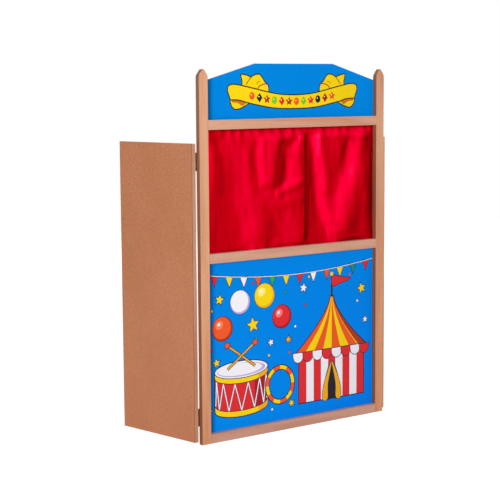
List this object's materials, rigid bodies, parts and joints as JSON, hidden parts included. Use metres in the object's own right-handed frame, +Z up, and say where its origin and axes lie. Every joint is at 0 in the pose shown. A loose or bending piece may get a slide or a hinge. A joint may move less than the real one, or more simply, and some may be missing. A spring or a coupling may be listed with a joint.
{
  "type": "puppet theater stand",
  "caption": "Free-standing children's puppet theatre front with a curtained stage opening, painted panels and two hinged side wings that fold flat behind it.",
  "frame": {"origin": "middle of the underside of the front frame's bottom rail, on the floor", "axes": "+Z up, the decorated front faces -Y, +X to the right of someone facing the front"},
  "size_m": [1.0828, 0.4149, 1.421],
  "materials": {
    "beech": "planed and clear lacquered, satin",
    "beech_peg": "turned, raw",
    "beech_lipping": "sanded and lacquered edge strip",
    "blue_paint": "thin board with smooth blue semi-gloss paint and a printed decoration",
    "fibreboard": "smooth brown fibreboard with a fine mottle, matt",
    "red_satin": "woven satin with a strong sheen",
    "dark_steel": "blackened, low sheen",
    "zinc_steel": "zinc plated"
  },
  "bodies": {
    "frame": {"left_post": "beech", "right_post": "beech", "bottom_rail": "beech", "middle_rail": "beech", "top_rail": "beech", "bottom_rail_left_lower_dowel": "beech_peg", "bottom_rail_left_upper_dowel": "beech_peg", "bottom_rail_right_lower_dowel": "beech_peg", "bottom_rail_right_upper_dowel": "beech_peg", "middle_rail_left_lower_dowel": "beech_peg", "middle_rail_left_upper_dowel": "beech_peg", "middle_rail_right_lower_dowel": "beech_peg", "middle_rail_right_upper_dowel": "beech_peg", "top_rail_left_lower_dowel": "beech_peg", "top_rail_left_upper_dowel": "beech_peg", "top_rail_right_lower_dowel": "beech_peg", "top_rail_right_upper_dowel": "beech_peg", "header_panel": "blue_paint", "lower_panel": "blue_paint", "curtain_rod": "zinc_steel", "left_rod_bracket": "zinc_steel", "right_rod_bracket": "zinc_steel", "left_lower_hinge_post_leaf": "dark_steel", "left_lower_hinge_pin": "dark_steel", "left_upper_hinge_post_leaf": "dark_steel", "left_upper_hinge_pin": "dark_steel", "right_lower_hinge_post_leaf": "dark_steel", "right_lower_hinge_pin": "dark_steel", "right_upper_hinge_post_leaf": "dark_steel", "right_upper_hinge_pin": "dark_steel"},
    "left_wing": {"left_wing_panel": "fibreboard", "left_wing_lipping": "beech_lipping", "left_lower_hinge_wing_leaf": "dark_steel", "left_upper_hinge_wing_leaf": "dark_steel"},
    "right_wing": {"right_wing_panel": "fibreboard", "right_wing_lipping": "beech_lipping", "right_lower_hinge_wing_leaf": "dark_steel", "right_upper_hinge_wing_leaf": "dark_steel"},
    "left_curtain": {"left_curtain": "red_satin"},
    "right_curtain": {"right_curtain": "red_satin"}
  },
  "joints": [
    {"name": "left_wing_hinge", "type": "hinge", "parent": "frame", "child": "left_wing", "pos_m": [-0.45, 0.016, 0.569], "axis": [0, 0, 1], "range_deg": [-100, 30]},
    {"name": "right_wing_hinge", "type": "hinge", "parent": "frame", "child": "right_wing", "pos_m": [0.45, 0.016, 0.569], "axis": [0, 0, -1], "range_deg": [-100, 30]},
    {"name": "left_curtain_slide", "type": "slide", "parent": "frame", "child": "left_curtain", "axis": [-1, 0, 0], "range_m": [0, 0.356], "deforming": ["left_curtain"]},
    {"name": "right_curtain_slide", "type": "slide", "parent": "frame", "child": "right_curtain", "axis": [1, 0, 0], "range_m": [0, 0.283], "deforming": ["right_curtain"]}
  ]
}
